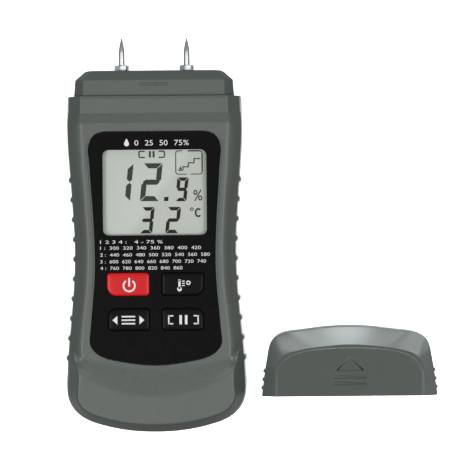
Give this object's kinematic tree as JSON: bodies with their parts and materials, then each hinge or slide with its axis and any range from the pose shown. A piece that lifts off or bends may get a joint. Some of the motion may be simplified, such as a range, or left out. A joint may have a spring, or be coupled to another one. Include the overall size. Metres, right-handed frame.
{
  "type": "moisture meter",
  "caption": "Hand-held pin moisture meter with a display, soft keys, a sliding battery door and a push-on cap that protects its measuring pins.",
  "frame": {"origin": "on the flat back face, on the meter's centre line at the middle of the case's length", "axes": "+Y along the case towards the measuring pins, +Z out of the face with the display and keys, +X to the right as the face is read"},
  "size_m": [0.1428, 0.1519, 0.0332],
  "materials": {
    "case_grey": "fine moulded texture, grey",
    "cap_grey": "fine moulded texture, grey",
    "panel_black": "printed black, satin",
    "window": "clear, polished",
    "lcd": "grey-green liquid crystal",
    "frame_white": "moulded",
    "key_black": "smooth black",
    "key_red": "smooth red",
    "silicone": "matt grey silicone",
    "carbon": "matt carbon rubber",
    "steel": "turned, bright",
    "screw_steel": "zinc plated",
    "brass": "turned",
    "tinned": "tinned sheet",
    "board_green": "solder mask",
    "chip_black": "moulded epoxy",
    "battery_skin": "plain printed jacket over the cells",
    "wire_red": "insulation",
    "wire_black": "insulation",
    "foam": "foam"
  },
  "bodies": {
    "meter": {"battery": "battery_skin", "battery_lead_black": "wire_black", "battery_lead_red": "wire_red", "battery_snap": "wire_black", "board_components": "chip_black", "board_screws": "screw_steel", "case_screws": "screw_steel", "display_lens": "window", "front_housing": "case_grey", "front_overlay": "panel_black", "hold_dome": "silicone", "key_contact_pads": "brass", "keypad_mat": "silicone", "lcd_frame": "frame_white", "lcd_glass": "lcd", "left_pin": "steel", "left_sensor_wire": "wire_red", "main_board": "board_green", "microcontroller": "chip_black", "mode_dome": "silicone", "pin_sockets": "brass", "power_dome": "silicone", "rear_housing": "case_grey", "right_pin": "steel", "right_sensor_wire": "wire_black", "sensor_head": "case_grey", "sensor_solder_lugs": "tinned", "thermistor": "chip_black", "unit_dome": "silicone", "zebra_strips": "silicone"},
    "battery_door": {"battery_door": "case_grey", "battery_pad": "foam"},
    "cap": {"cap": "cap_grey"},
    "power_key": {"power_button": "key_red", "power_pill": "carbon"},
    "unit_key": {"unit_button": "key_black", "unit_pill": "carbon"},
    "mode_key": {"mode_button": "key_black", "mode_pill": "carbon"},
    "hold_key": {"hold_button": "key_black", "hold_pill": "carbon"}
  },
  "joints": [
    {"name": "power_press", "type": "slide", "parent": "meter", "child": "power_key", "axis": [0, 0, -1], "range_m": [0, 0.0009], "stiffness_N_per_m": 1200, "springref_m": -0.0004, "deforming": ["power_dome"]},
    {"name": "unit_press", "type": "slide", "parent": "meter", "child": "unit_key", "axis": [0, 0, -1], "range_m": [0, 0.0009], "stiffness_N_per_m": 1200, "springref_m": -0.0004, "deforming": ["unit_dome"]},
    {"name": "mode_press", "type": "slide", "parent": "meter", "child": "mode_key", "axis": [0, 0, -1], "range_m": [0, 0.0009], "stiffness_N_per_m": 1200, "springref_m": -0.0004, "deforming": ["mode_dome"]},
    {"name": "hold_press", "type": "slide", "parent": "meter", "child": "hold_key", "axis": [0, 0, -1], "range_m": [0, 0.0009], "stiffness_N_per_m": 1200, "springref_m": -0.0004, "deforming": ["hold_dome"]},
    {"name": "battery_door_slide", "type": "slide", "parent": "meter", "child": "battery_door", "axis": [0, -1, 0], "range_m": [0, 0.058]},
    {"name": "cap_slide", "type": "slide", "parent": "meter", "child": "cap", "axis": [0, 1, 0], "range_m": [0, 0.1153]}
  ]
}
